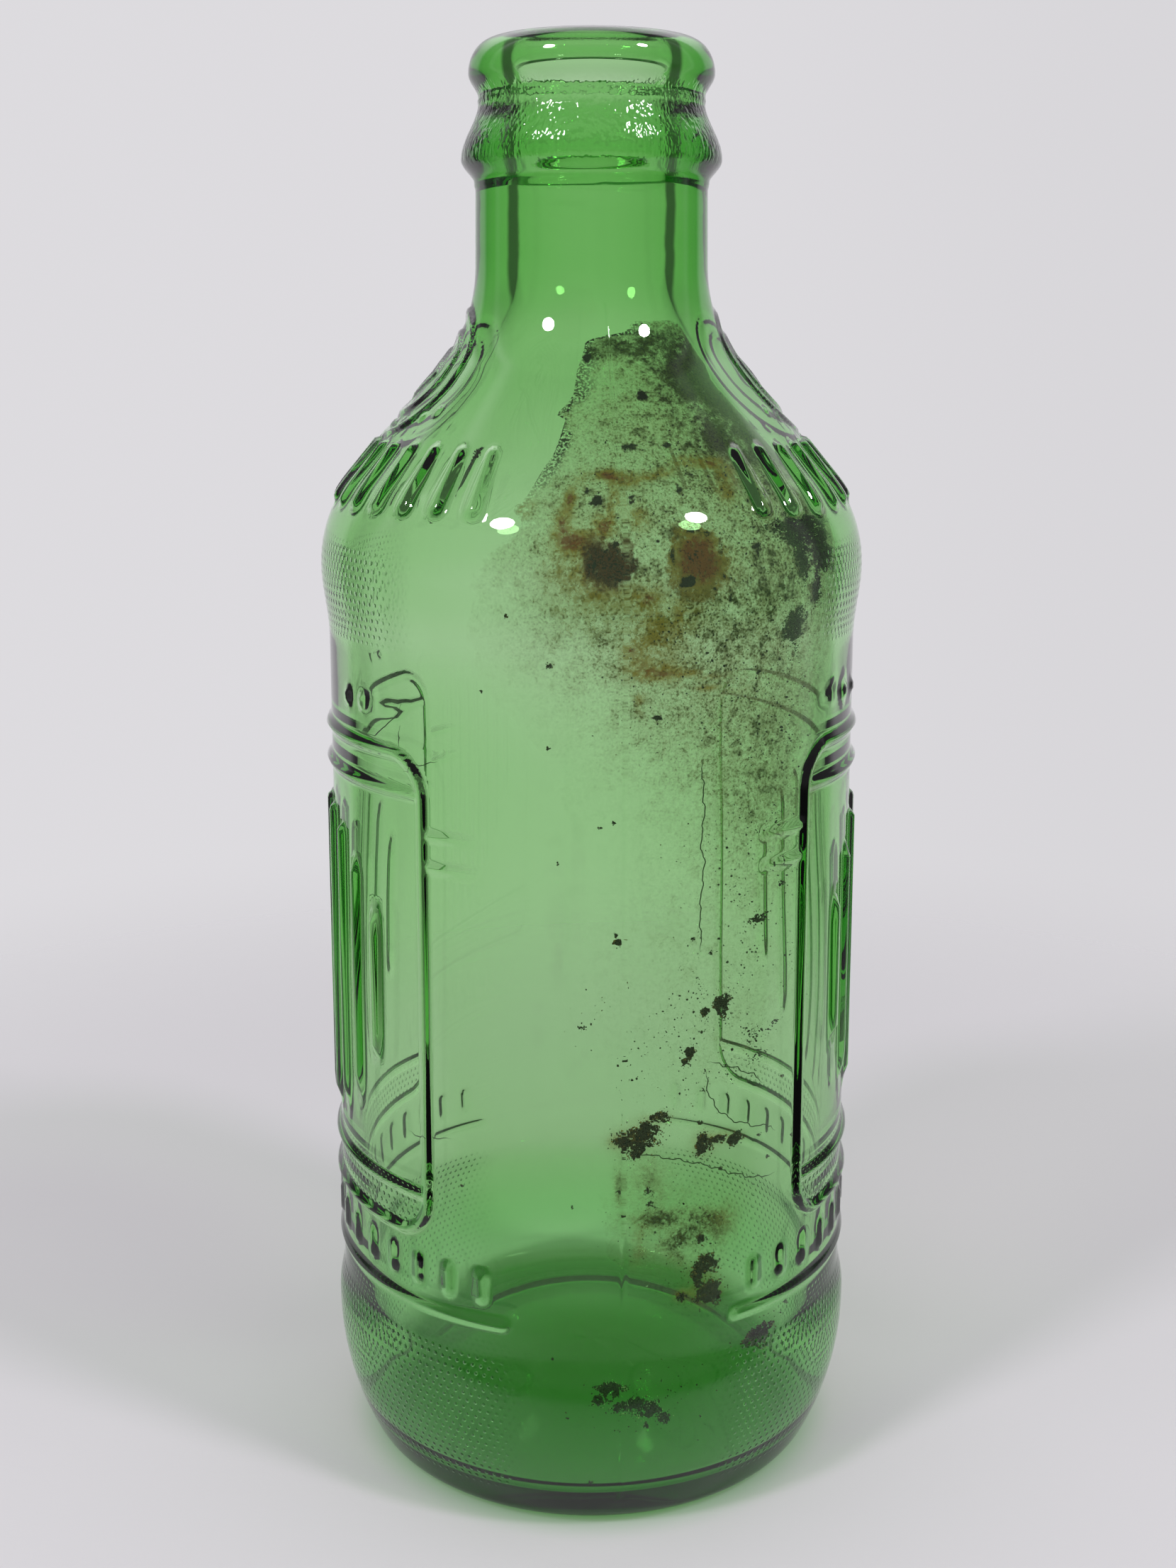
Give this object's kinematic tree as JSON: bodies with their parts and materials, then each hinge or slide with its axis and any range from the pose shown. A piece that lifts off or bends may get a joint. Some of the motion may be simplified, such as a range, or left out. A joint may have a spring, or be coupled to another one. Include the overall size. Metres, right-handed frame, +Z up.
{
  "type": "soda bottle",
  "caption": "Short-necked green glass soda bottle with a crown finish, sloping shoulder, framed side panels and pushed-up base, soiled inside",
  "frame": {"origin": "on the bottle's axis, in the plane of the bearing ring that it stands on", "axes": "+Z up the bottle's axis to the mouth, the framed panels face +X and -X, the mould's parting lines lie at +Y and -Y"},
  "size_m": [0.0624, 0.0624, 0.162],
  "materials": {
    "green_glass": "fire-polished moulded soda-lime glass, transparent green",
    "dried_moss": "dull crumbly dried moss and algae",
    "dried_mud": "dull crumbly dried mud",
    "rust_stain": "dull red-brown rust stain"
  },
  "bodies": {
    "root": {"glass_bottle": "green_glass", "moss_film_neck": "dried_moss", "moss_film_body": "dried_moss", "mud_film_low": "dried_mud", "rust_patch_left": "rust_stain", "rust_patch_right": "rust_stain", "moss_clump_shoulder": "dried_moss", "moss_clump_side": "dried_moss", "moss_clump_foot": "dried_moss", "mud_clump_1": "dried_mud", "mud_clump_2": "dried_mud", "mud_clump_3": "dried_mud", "mud_clump_4": "dried_mud", "mud_clump_5": "dried_mud", "mud_clump_6": "dried_mud", "mud_clump_7": "dried_mud", "mud_clump_8": "dried_mud"}
  },
  "joints": []
}
